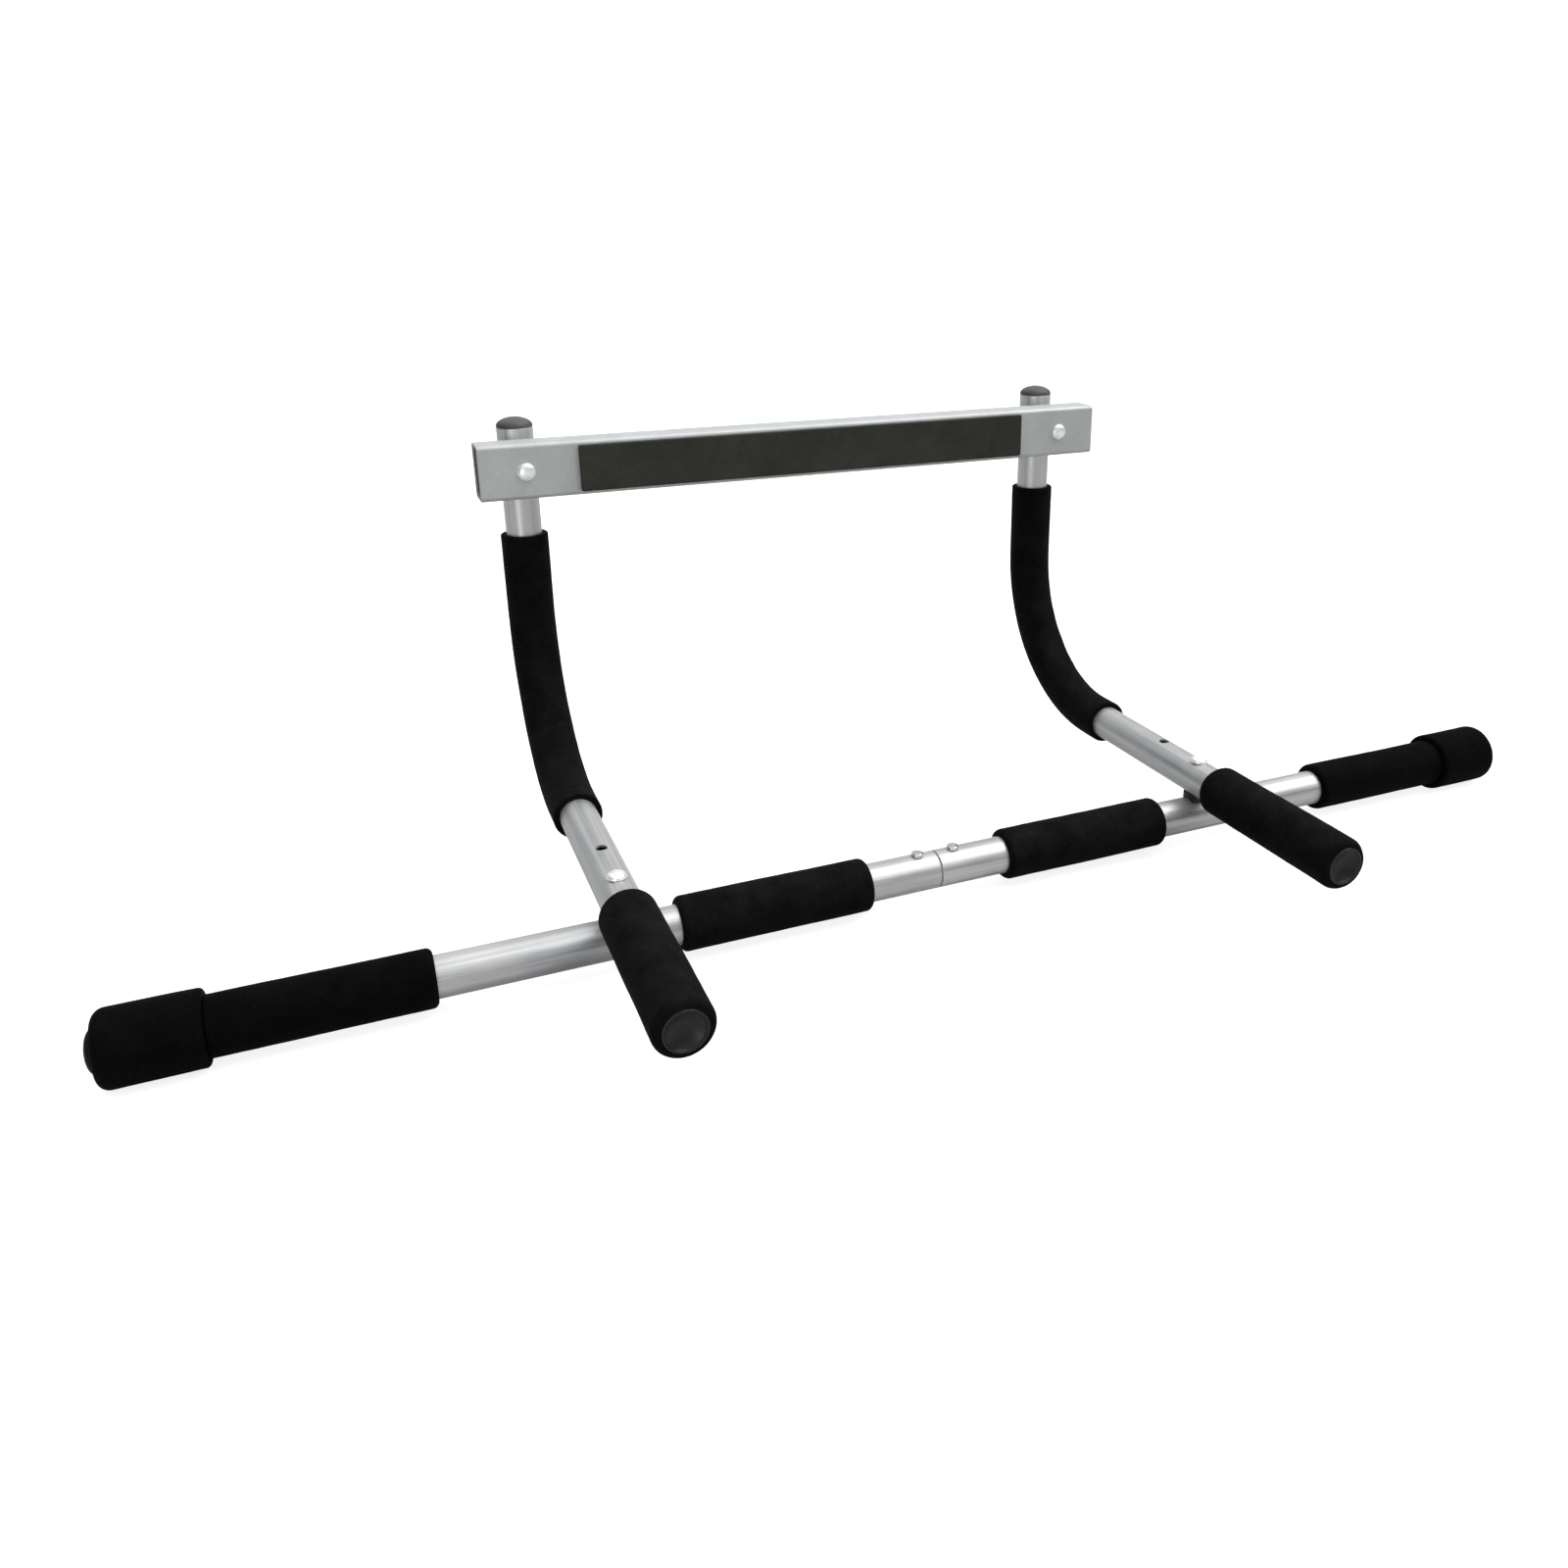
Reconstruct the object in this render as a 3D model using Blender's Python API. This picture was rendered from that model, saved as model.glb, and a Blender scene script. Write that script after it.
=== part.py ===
"""Over-the-door pull-up bar, shown as it hangs in a doorway.

Frame: X runs along the long bar, +Y points from the user to the far side of the wall, +Z is up.
The origin is the middle of the safety bar's underside, which rests on the door's top trim.
"""

import math

import bmesh
import bpy
from mathutils import Matrix, Vector

MM = 0.001
GAP = 0.3 * MM
RING = 20
SMALL_RING = 14
SHARP_ANGLE = math.radians(35)

# Round tubes and the foam around them
TUBE_RADIUS = 12.5 * MM
TUBE_WALL = 1.5 * MM
BORE_RADIUS = TUBE_RADIUS - TUBE_WALL
FOAM_BORE = TUBE_RADIUS + GAP
SEAT_RADIUS = TUBE_RADIUS + 2 * GAP
GRIP_RADIUS = 17.25 * MM
HANDLE_FOAM_RADIUS = 17.5 * MM
SLEEVE_RADIUS = 16.6 * MM
BUMPER_RADIUS = 21.5 * MM
GRIP_CORNER = 2.5 * MM
HANDLE_CORNER = 5 * MM
BUMPER_CORNER = 4.5 * MM

# Stations along the long bar, measured from its middle
INNER_GRIP_START = 49.6 * MM
INNER_GRIP_END = 175.2 * MM
OUTER_GRIP_START = 316.6 * MM
BUMPER_START = 433.5 * MM
BUMPER_END = 486 * MM
BAR_END = BUMPER_END - 1 * MM
PLUG_DEPTH = 14 * MM
PLUG_RIM = 1.2 * MM
PLUG_BULGE = 4.5 * MM
CONNECTOR_HALF = 45 * MM
SEAM_HALF = 0.4 * MM
CENTRE_SCREW_X = 13 * MM

# Side frames: handle, lower run, bend and upright are one tube that lies on the long bar
FRAME_X = 210 * MM
STACK_HEIGHT = 28 * MM
HANDLE_END = -147.5 * MM
HANDLE_TUBE_END = -146 * MM
HANDLE_FOAM_REAR = -22 * MM
ADJUST_HOLE_Y = 41 * MM
SLEEVE_START = 117 * MM
BEND_START = 136 * MM
BEND_RADIUS = 110 * MM
BEND_STEPS = 8
SLEEVE_TOP = 58 * MM
UPRIGHT_TOP = 134 * MM
CAP_HEIGHT = 7 * MM
CAP_RIM = 1.5 * MM
HEAD_LIP = 2.2 * MM
HEAD_DISH = 1.2 * MM
SADDLE_SIDE = 14 * MM
SADDLE_CORNER = 2 * MM
SADDLE_INSET = 11 * MM

# Safety bar
SAFETY_HALF = 241.5 * MM
SAFETY_HEIGHT = 38 * MM
SAFETY_DEPTH = 25.4 * MM
SAFETY_WALL = 1.5 * MM
SAFETY_CORNER = 3 * MM
SAFETY_RISE = 108.4 * MM
PAD_HALF = 174 * MM
PAD_HEIGHT = 32 * MM
PAD_THICKNESS = 3.5 * MM
PAD_CORNER = 1.5 * MM
SAFETY_PLUG_CORNER = 1.2 * MM
SAFETY_PLUG_RECESS = 1 * MM

# Fasteners
BOLT_RADIUS = 3 * MM
HOLE_RADIUS = BOLT_RADIUS + GAP
ADJUST_HOLE_RADIUS = 3.6 * MM
HEAD_RADIUS = 6.2 * MM
HEAD_HEIGHT = 3.2 * MM
WASHER_RADIUS = 6.5 * MM
WASHER_THICKNESS = 1.2 * MM
NUT_RADIUS = 5.7 * MM
NUT_HEIGHT = 3.2 * MM
BOLT_STICKOUT = 1 * MM
CAPTIVE_SEAT = 8.85 * MM
CROSSING_REACH = 24 * MM
CENTRE_SCREW_RADIUS = 2 * MM
CENTRE_HOLE_RADIUS = CENTRE_SCREW_RADIUS + GAP
CENTRE_HEAD_RADIUS = 4 * MM
CENTRE_HEAD_HEIGHT = 2.2 * MM
CENTRE_SCREW_LENGTH = 8 * MM

# Places in the part's frame, worked out from the dimensions above
UPRIGHT_Y = SAFETY_DEPTH / 2 + GAP + TUBE_RADIUS
BAR_Y = UPRIGHT_Y - BEND_START - BEND_RADIUS
BEND_TOP_Z = SAFETY_HEIGHT / 2 - SAFETY_RISE
RUN_Z = BEND_TOP_Z - BEND_RADIUS
BAR_Z = RUN_Z - STACK_HEIGHT
SAFETY_MID_Z = SAFETY_HEIGHT / 2
CAP_Z = BEND_TOP_Z + UPRIGHT_TOP

SIDES = {"left": -1, "right": 1}
QUARTER = math.pi / 2


def clear_scene():
    for obj in list(bpy.data.objects):
        bpy.data.objects.remove(obj, do_unlink=True)


def material(name, colour, roughness, metallic=0.0):
    made = bpy.data.materials.new(name)
    made.use_nodes = True
    shader = made.node_tree.nodes["Principled BSDF"]
    shader.inputs["Base Color"].default_value = (*colour, 1)
    shader.inputs["Roughness"].default_value = roughness
    shader.inputs["Metallic"].default_value = metallic
    return made


def add_object(name, mesh_edit, look=None, place=None):
    """One object from a finished bmesh, shaded smooth with its sharp edges kept."""
    bmesh.ops.recalc_face_normals(mesh_edit, faces=mesh_edit.faces)
    if mesh_edit.calc_volume(signed=True) < 0:
        bmesh.ops.reverse_faces(mesh_edit, faces=mesh_edit.faces)
    mesh = bpy.data.meshes.new(name)
    mesh_edit.to_mesh(mesh)
    mesh_edit.free()
    mesh.shade_smooth()
    mesh.set_sharp_from_angle(angle=SHARP_ANGLE)
    if look:
        mesh.materials.append(look)
    obj = bpy.data.objects.new(name, mesh)
    bpy.context.scene.collection.objects.link(obj)
    if place:
        obj.matrix_world = place
    return obj


def placed(x, y, z, turn=None):
    at = Matrix.Translation((x, y, z))
    return at @ turn if turn else at


def along_x(side):
    """Turns a shape's own +Z so that it points away from the middle of the long bar."""
    return Matrix.Rotation(side * QUARTER, 4, "Y")


TO_FRONT = Matrix.Rotation(QUARTER, 4, "X")
TO_REAR = Matrix.Rotation(-QUARTER, 4, "X")
DOWN = Matrix.Rotation(math.pi, 4, "X")


def arc(centre_r, centre_h, radius, start, end, steps=2):
    """Profile points on an arc, angles in degrees from the outward radial direction."""
    turns = [math.radians(start + (end - start) * i / steps) for i in range(steps + 1)]
    return [(centre_r + radius * math.cos(t), centre_h + radius * math.sin(t)) for t in turns]


def lathe(name, profile, look, place=None, segments=RING):
    """A turned solid about its own Z from (radius, height) points. A profile that doesn't
    start on the axis is closed into a ring."""
    edit = bmesh.new()
    points = [edit.verts.new((radius, 0, height)) for radius, height in profile]
    edges = [edit.edges.new(pair) for pair in zip(points, points[1:])]
    if profile[0][0] > 0:
        edges.append(edit.edges.new((points[-1], points[0])))
    bmesh.ops.spin(
        edit,
        geom=points + edges,
        axis=(0, 0, 1),
        cent=(0, 0, 0),
        angle=math.tau,
        steps=segments,
        use_merge=True,
    )
    bmesh.ops.remove_doubles(edit, verts=edit.verts, dist=1e-7)
    return add_object(name, edit, look, place)


def circle_outline(radius, segments=RING):
    turns = [math.tau * i / segments for i in range(segments)]
    return [(radius * math.cos(t), radius * math.sin(t)) for t in turns]


def rounded_outline(width, height, corner, steps=2):
    """Corners of a rounded rectangle, anticlockwise from the right-hand upper one."""
    across = width / 2 - corner
    up = height / 2 - corner
    corners = [(across, up, 0), (-across, up, 90), (-across, -up, 180), (across, -up, 270)]
    points = []
    for x, y, start in corners:
        points += arc(x, y, corner, start, start + 90, steps)
    return points


def ring_face(edit, outer, inner, to_space):
    """Faces between two outlines with equal point counts, or one face where inner is None."""
    outer_verts = [edit.verts.new(to_space @ Vector((u, v, 0))) for u, v in outer]
    if inner is None:
        return [edit.faces.new(outer_verts)]
    inner_verts = [edit.verts.new(to_space @ Vector((u, v, 0))) for u, v in inner]
    count = len(outer)
    faces = []
    for i in range(count):
        j = (i + 1) % count
        corners = (outer_verts[i], outer_verts[j], inner_verts[j], inner_verts[i])
        faces.append(edit.faces.new(corners))
    return faces


def push(edit, faces, move):
    """Extrudes the faces along a vector and returns the new end faces. Faces that start a
    shape stay as its first end, and faces that already end one are used up."""
    region = set(faces)
    linked = {link for face in faces for edge in face.edges for link in edge.link_faces}
    made = bmesh.ops.extrude_face_region(edit, geom=faces)["geom"]
    if linked - region:
        bmesh.ops.delete(edit, geom=faces, context="FACES")
    verts = [item for item in made if isinstance(item, bmesh.types.BMVert)]
    bmesh.ops.translate(edit, verts=verts, vec=move)
    return [item for item in made if isinstance(item, bmesh.types.BMFace)]


def swing(edit, faces, centre, steps):
    """Extrudes the faces through the quarter turn from +Y to +Z and returns the end faces."""
    for _ in range(steps):
        faces = push(edit, faces, (0, 0, 0))
        verts = list({vert for face in faces for vert in face.verts})
        turn = Matrix.Rotation(QUARTER / steps, 3, "X")
        bmesh.ops.rotate(edit, verts=verts, cent=centre, matrix=turn)
    return faces


def side_sweep(name, side, outer_radius, inner_radius, start_y, upright, look):
    """A round tube along the side frame: a straight run, the bend, and an upright length."""
    edit = bmesh.new()
    outer = circle_outline(outer_radius)
    inner = circle_outline(inner_radius)
    start = placed(side * FRAME_X, BAR_Y + start_y, RUN_Z, TO_REAR)
    faces = ring_face(edit, outer, inner, start)
    faces = push(edit, faces, (0, BEND_START - start_y, 0))
    centre = (side * FRAME_X, BAR_Y + BEND_START, BEND_TOP_Z)
    faces = swing(edit, faces, centre, BEND_STEPS)
    push(edit, faces, (0, 0, upright))
    return add_object(name, edit, look)


def cylinder_cutter(name, radius, length, place, segments):
    """A guide for a Boolean, centred on its place, with its own Z as the axis."""
    profile = [(0, -length / 2), (radius, -length / 2), (radius, length / 2), (0, length / 2)]
    cutter = lathe(name, profile, None, place, segments)
    cutter.hide_render = True
    cutter.display_type = "WIRE"
    return cutter


def cut(obj, *cutters):
    for cutter in cutters:
        modifier = obj.modifiers.new("cut_" + cutter.name, "BOOLEAN")
        modifier.operation = "DIFFERENCE"
        modifier.solver = "EXACT"
        modifier.object = cutter


def sleeve_profile(outer_radius, start, end, corner):
    """A foam sleeve's wall, with rounded outer corners at both ends."""
    profile = [(FOAM_BORE, start)]
    profile += arc(outer_radius - corner, start + corner, corner, -90, 0)
    profile += arc(outer_radius - corner, end - corner, corner, 0, 90)
    profile.append((FOAM_BORE, end))
    return profile


def dome_profile(radius, base, height, steps=3):
    """Outline of a dome from its rim to its tip, ending exactly on the axis."""
    turns = [QUARTER * i / steps for i in range(steps)]
    points = [(radius * math.cos(t), base + height * math.sin(t)) for t in turns]
    return points + [(0, base + height)]


def domed_bolt(name, place, shank, length, head_radius, head_height, look):
    """A bolt whose head sits on its own Z = 0 plane and whose shank points down."""
    profile = [(0, -length), (shank, -length), (shank, 0)]
    profile += dome_profile(head_radius, 0, head_height)
    return lathe(name, profile, look, place, segments=SMALL_RING)


def hex_nut(name, look, place):
    edit = bmesh.new()
    outer = []
    for i in range(6):
        a = math.tau * i / 6
        b = math.tau * (i + 1) / 6
        corner = (NUT_RADIUS * math.cos(a), NUT_RADIUS * math.sin(a))
        following = (NUT_RADIUS * math.cos(b), NUT_RADIUS * math.sin(b))
        outer += [
            (
                corner[0] + (following[0] - corner[0]) * k / 3,
                corner[1] + (following[1] - corner[1]) * k / 3,
            )
            for k in range(3)
        ]
    faces = ring_face(edit, outer, circle_outline(HOLE_RADIUS, 18), Matrix.Identity(4))
    push(edit, faces, (0, 0, NUT_HEIGHT))
    return add_object(name, edit, look, place)


def washer(name, look, place):
    profile = [
        (HOLE_RADIUS, 0),
        (WASHER_RADIUS, 0),
        (WASHER_RADIUS, WASHER_THICKNESS),
        (HOLE_RADIUS, WASHER_THICKNESS),
    ]
    return lathe(name, profile, look, place, segments=SMALL_RING)


def bolt_set(prefix, head_place, tail_place, grip, looks):
    """A domed bolt with its washer and nut. Head and tail places point outwards, and grip
    is the distance between them."""
    length = grip + 2 * GAP + WASHER_THICKNESS + NUT_HEIGHT + BOLT_STICKOUT
    domed_bolt(
        prefix + "_bolt",
        head_place @ placed(0, 0, GAP),
        BOLT_RADIUS,
        length + GAP,
        HEAD_RADIUS,
        HEAD_HEIGHT,
        looks["zinc"],
    )
    washer(prefix + "_washer", looks["zinc"], tail_place @ placed(0, 0, GAP))
    nut_at = 2 * GAP + WASHER_THICKNESS
    hex_nut(prefix + "_nut", looks["zinc"], tail_place @ placed(0, 0, nut_at))


def make_looks():
    return {
        "tube": material("satin_tube", (0.62, 0.62, 0.61), 0.34, 1.0),
        "safety": material("safety_bar_paint", (0.36, 0.37, 0.38), 0.42, 0.6),
        "foam": material("black_foam", (0.012, 0.012, 0.013), 0.85),
        "pad": material("charcoal_pad", (0.03, 0.03, 0.026), 0.8),
        "plastic": material("black_plastic", (0.03, 0.03, 0.03), 0.5),
        "cap": material("grey_cap_plastic", (0.07, 0.07, 0.07), 0.45),
        "zinc": material("bright_zinc", (0.8, 0.8, 0.79), 0.22, 1.0),
    }


def bar_half(side_name, side, cutters, look):
    edit = bmesh.new()
    start = placed(side * SEAM_HALF, BAR_Y, BAR_Z, along_x(side))
    outer = circle_outline(TUBE_RADIUS)
    faces = ring_face(edit, outer, circle_outline(BORE_RADIUS), start)
    push(edit, faces, (side * (BAR_END - SEAM_HALF), 0, 0))
    tube = add_object(side_name + "_bar_tube", edit, look)
    cut(tube, cutters[side_name + "_crossing"], cutters[side_name + "_centre_screw"])


def connector(cutters, look):
    edit = bmesh.new()
    outer = circle_outline(BORE_RADIUS - GAP)
    inner = circle_outline(BORE_RADIUS - GAP - TUBE_WALL)
    start = placed(-CONNECTOR_HALF, BAR_Y, BAR_Z, along_x(1))
    faces = ring_face(edit, outer, inner, start)
    push(edit, faces, (2 * CONNECTOR_HALF, 0, 0))
    sleeve = add_object("centre_connector_sleeve", edit, look)
    cut(sleeve, cutters["left_centre_screw"], cutters["right_centre_screw"])


def bar_foam(side_name, side, look):
    on_bar = placed(0, BAR_Y, BAR_Z, along_x(side))
    pieces = {
        "_inner_foam_grip": (GRIP_RADIUS, INNER_GRIP_START, INNER_GRIP_END, GRIP_CORNER),
        "_outer_foam_grip": (GRIP_RADIUS, OUTER_GRIP_START, BUMPER_START - GAP, GRIP_CORNER),
        "_door_bumper_foam": (BUMPER_RADIUS, BUMPER_START, BUMPER_END, BUMPER_CORNER),
    }
    for suffix, (radius, start, end, corner) in pieces.items():
        lathe(side_name + suffix, sleeve_profile(radius, start, end, corner), look, on_bar)


def tube_plug(name, head_profile, look, place):
    """A push-in plug: a ribless stem in the tube, and a head given from its rim to its tip.
    Its own Z = 0 plane is the tube's end."""
    stem = [(0, -PLUG_DEPTH), (BORE_RADIUS - GAP, -PLUG_DEPTH)]
    lathe(name, stem + head_profile, look, place)


def bar_end_plug(side_name, side, look):
    rim = TUBE_RADIUS - GAP
    head = [(BORE_RADIUS - GAP, GAP), (rim, GAP)] + dome_profile(rim, PLUG_RIM, PLUG_BULGE)
    place = placed(side * BAR_END, BAR_Y, BAR_Z, along_x(side))
    tube_plug(side_name + "_bar_end_plug", head, look, place)


def handle_plug_head():
    """Outline of the handle plug's head, which covers the tube's end and has a shallow dish."""
    rim = TUBE_RADIUS - GAP
    edge = HEAD_LIP - HEAD_DISH
    return [
        (BORE_RADIUS - GAP, GAP),
        (rim, GAP),
        (rim, HEAD_LIP - edge / 2),
        (rim - edge / 2, HEAD_LIP),
        (rim - edge, HEAD_LIP),
        (rim - 3 * edge, HEAD_DISH + GAP),
        (0, HEAD_DISH),
    ]


def side_frame(side_name, side, cutters, looks):
    tube = side_sweep(
        side_name + "_frame_tube",
        side,
        TUBE_RADIUS,
        BORE_RADIUS,
        HANDLE_TUBE_END,
        UPRIGHT_TOP,
        looks["tube"],
    )
    cut(
        tube,
        cutters[side_name + "_crossing"],
        cutters[side_name + "_adjust"],
        cutters[side_name + "_safety"],
    )
    side_sweep(
        side_name + "_bend_foam_sleeve",
        side,
        SLEEVE_RADIUS,
        FOAM_BORE,
        SLEEVE_START,
        SLEEVE_TOP,
        looks["foam"],
    )
    x = side * FRAME_X
    length = (-HANDLE_FOAM_REAR, -HANDLE_END)
    profile = sleeve_profile(HANDLE_FOAM_RADIUS, *length, HANDLE_CORNER)
    handle = placed(x, BAR_Y, RUN_Z, TO_FRONT)
    lathe(side_name + "_handle_foam_grip", profile, looks["foam"], handle)
    handle_end = placed(x, BAR_Y + HANDLE_TUBE_END, RUN_Z, TO_FRONT)
    plug = side_name + "_handle_end_plug"
    tube_plug(plug, handle_plug_head(), looks["plastic"], handle_end)
    cap = [(BORE_RADIUS - GAP, GAP), (TUBE_RADIUS, GAP)]
    cap += dome_profile(TUBE_RADIUS, CAP_RIM, CAP_HEIGHT - CAP_RIM)
    top = placed(x, UPRIGHT_Y, CAP_Z)
    tube_plug(side_name + "_upright_cap", cap, looks["cap"], top)


def saddle(side_name, side, cutters, look):
    """The spacer that seats the side frame's round tube across the round long bar."""
    edit = bmesh.new()
    low = BAR_Z + SADDLE_INSET
    outline = rounded_outline(SADDLE_SIDE, SADDLE_SIDE, SADDLE_CORNER)
    start = placed(side * FRAME_X, BAR_Y, low)
    faces = ring_face(edit, outline, None, start)
    push(edit, faces, (0, 0, STACK_HEIGHT - 2 * SADDLE_INSET))
    block = add_object(side_name + "_saddle_spacer", edit, look)
    cut(
        block,
        cutters["long_bar_seat"],
        cutters[side_name + "_run_seat"],
        cutters[side_name + "_crossing"],
    )


def safety_bar(cutters, looks):
    edit = bmesh.new()
    bore_height = SAFETY_HEIGHT - 2 * SAFETY_WALL
    bore_depth = SAFETY_DEPTH - 2 * SAFETY_WALL
    outer = rounded_outline(SAFETY_HEIGHT, SAFETY_DEPTH, SAFETY_CORNER)
    inner = rounded_outline(bore_height, bore_depth, SAFETY_CORNER - SAFETY_WALL)
    start = placed(-SAFETY_HALF, 0, SAFETY_MID_Z, along_x(1))
    faces = ring_face(edit, outer, inner, start)
    push(edit, faces, (2 * SAFETY_HALF, 0, 0))
    bar = add_object("safety_bar_tube", edit, looks["safety"])
    cut(bar, cutters["left_safety"], cutters["right_safety"])

    edit = bmesh.new()
    outline = rounded_outline(2 * PAD_HALF, PAD_HEIGHT, PAD_CORNER)
    pad_start = placed(0, -SAFETY_DEPTH / 2 - GAP, SAFETY_MID_Z, TO_FRONT)
    faces = ring_face(edit, outline, None, pad_start)
    push(edit, faces, (0, -PAD_THICKNESS, 0))
    add_object("safety_bar_pad", edit, looks["pad"])

    for side_name, side in SIDES.items():
        edit = bmesh.new()
        size = (bore_height - 2 * GAP, bore_depth - 2 * GAP)
        outline = rounded_outline(*size, SAFETY_PLUG_CORNER)
        face_x = side * (SAFETY_HALF - SAFETY_PLUG_RECESS)
        faces = ring_face(edit, outline, None, placed(face_x, 0, SAFETY_MID_Z, along_x(1)))
        push(edit, faces, (-side * PLUG_DEPTH, 0, 0))
        add_object(side_name + "_safety_bar_plug", edit, looks["plastic"])


def fasteners(side_name, side, looks):
    x = side * FRAME_X
    crossing_top = placed(x, BAR_Y, RUN_Z + TUBE_RADIUS)
    captive_seat = placed(x, BAR_Y, BAR_Z + CAPTIVE_SEAT, DOWN)
    grip = STACK_HEIGHT + TUBE_RADIUS - CAPTIVE_SEAT
    bolt_set(side_name + "_crossing", crossing_top, captive_seat, grip, looks)
    safety_front = placed(x, -SAFETY_DEPTH / 2, SAFETY_MID_Z, TO_FRONT)
    safety_rear = placed(x, UPRIGHT_Y + TUBE_RADIUS, SAFETY_MID_Z, TO_REAR)
    grip = SAFETY_DEPTH + GAP + 2 * TUBE_RADIUS
    bolt_set(side_name + "_safety", safety_front, safety_rear, grip, looks)
    top = placed(side * CENTRE_SCREW_X, BAR_Y, BAR_Z + TUBE_RADIUS + GAP)
    domed_bolt(
        side_name + "_centre_screw",
        top,
        CENTRE_SCREW_RADIUS,
        CENTRE_SCREW_LENGTH,
        CENTRE_HEAD_RADIUS,
        CENTRE_HEAD_HEIGHT,
        looks["zinc"],
    )


def make_cutters():
    """Guides for every hole and seat, shared by all the pieces that they pass through."""
    seats = {"long_bar_seat": placed(0, BAR_Y, BAR_Z, along_x(1))}
    holes = {}
    for side_name, side in SIDES.items():
        x = side * FRAME_X
        screw_x = side * CENTRE_SCREW_X
        seats[side_name + "_run_seat"] = placed(x, BAR_Y, RUN_Z, TO_REAR)
        crossing = placed(x, BAR_Y, RUN_Z)
        adjust = placed(x, BAR_Y + ADJUST_HOLE_Y, RUN_Z)
        safety = placed(x, UPRIGHT_Y / 2, SAFETY_MID_Z, TO_REAR)
        screw = placed(screw_x, BAR_Y, BAR_Z + TUBE_RADIUS)
        holes[side_name + "_crossing"] = (HOLE_RADIUS, 2 * CROSSING_REACH, crossing)
        holes[side_name + "_adjust"] = (ADJUST_HOLE_RADIUS, 4 * TUBE_RADIUS, adjust)
        holes[side_name + "_safety"] = (HOLE_RADIUS, 6 * SAFETY_DEPTH, safety)
        holes[side_name + "_centre_screw"] = (CENTRE_HOLE_RADIUS, 2 * TUBE_RADIUS, screw)
    cutters = {}
    for name, place in seats.items():
        cutters[name] = cylinder_cutter("guide_" + name, SEAT_RADIUS, 1, place, RING)
    for name, (radius, length, place) in holes.items():
        cutters[name] = cylinder_cutter("guide_" + name, radius, length, place, SMALL_RING)
    return cutters


def main():
    clear_scene()
    looks = make_looks()
    cutters = make_cutters()
    connector(cutters, looks["zinc"])
    safety_bar(cutters, looks)
    for side_name, side in SIDES.items():
        bar_half(side_name, side, cutters, looks["tube"])
        bar_foam(side_name, side, looks["foam"])
        bar_end_plug(side_name, side, looks["plastic"])
        side_frame(side_name, side, cutters, looks)
        saddle(side_name, side, cutters, looks["plastic"])
        fasteners(side_name, side, looks)


main()
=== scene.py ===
"""Looks for the over-the-door pull-up bar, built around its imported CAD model.

Lengths are in metres in the row frame: X along the long bar, +Y to the far side of the wall,
+Z up. Places come from the boxes of the CAD nodes. Most pieces are outlines turned about a
path: a straight line, or the side frame's run, bend and upright.
"""

import math

import bmesh
import bpy
import numpy as np
from mathutils import Matrix, Vector, noise


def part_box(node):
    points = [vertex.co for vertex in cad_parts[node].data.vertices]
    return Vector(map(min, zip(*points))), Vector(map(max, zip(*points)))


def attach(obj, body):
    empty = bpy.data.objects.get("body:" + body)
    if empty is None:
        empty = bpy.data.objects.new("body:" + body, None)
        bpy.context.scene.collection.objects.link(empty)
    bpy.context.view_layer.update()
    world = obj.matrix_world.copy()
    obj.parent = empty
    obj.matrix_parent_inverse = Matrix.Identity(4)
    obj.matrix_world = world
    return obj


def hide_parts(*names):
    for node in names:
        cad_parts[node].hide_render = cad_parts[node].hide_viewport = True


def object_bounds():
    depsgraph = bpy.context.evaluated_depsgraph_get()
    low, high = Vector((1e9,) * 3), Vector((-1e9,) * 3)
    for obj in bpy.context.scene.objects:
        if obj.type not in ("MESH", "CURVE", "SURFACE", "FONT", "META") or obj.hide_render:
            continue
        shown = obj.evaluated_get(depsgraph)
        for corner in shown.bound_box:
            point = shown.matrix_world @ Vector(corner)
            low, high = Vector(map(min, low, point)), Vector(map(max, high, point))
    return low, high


MM = 0.001
SIDES = {"left": -1, "right": 1}
X, Y, Z = Vector((1, 0, 0)), Vector((0, 1, 0)), Vector((0, 0, 1))
WELD = 1e-7  # points closer than this are one

# Tubes and foam
TUBE_RADIUS = 12.5 * MM
BORE_RADIUS = 11 * MM
BEND_RADIUS = 110 * MM
FOAM_BORE = TUBE_RADIUS + 0.06 * MM
FOAM_SKIN = 0.1 * MM  # room left inside the CAD's radius for the foam's unevenness
PLUG_GAP = 0.05 * MM  # between a plug's rim and the tube's end

# Holes
HOLE_RADIUS = 3.3 * MM
ADJUST_HOLE_RADIUS = 3.6 * MM
ADJUST_HOLE_AHEAD = 41 * MM
CENTRE_HOLE_RADIUS = 2.3 * MM
ONE_WALL, RIGHT_THROUGH = 10 * MM, 60 * MM

# Fasteners
SHANK_RADIUS, THREAD_LENGTH, THREAD_PITCH = 2.95 * MM, 12 * MM, 1.0 * MM
HEAD_RADIUS, HEAD_FLANGE = 6.2 * MM, 0.7 * MM
WASHER_BORE, WASHER_RADIUS = 3.2 * MM, 6.5 * MM
NUT_BORE, NUT_CORNER = 3.0 * MM, 5.7 * MM
SCREW_RADIUS, SCREW_HEAD_RADIUS, SCREW_PITCH = 2.0 * MM, 4.0 * MM, 0.7 * MM

# Points around a piece
TUBE_POINTS, FOAM_POINTS, PLUG_POINTS, DISH_POINTS = 96, 72, 72, 80
BOLT_POINTS, WASHER_POINTS, NUT_POINTS, CUTTER_POINTS = 48, 56, 96, 40
DOME_STEPS = 15

# Camera
LENS, SHIFT = 29.26, (-0.0580, -0.0785)
CAMERA_PLACE, CAMERA_TURN = (-0.3388, -0.8973, 0.1778), (71.075, 0.193, -23.691)

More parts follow.
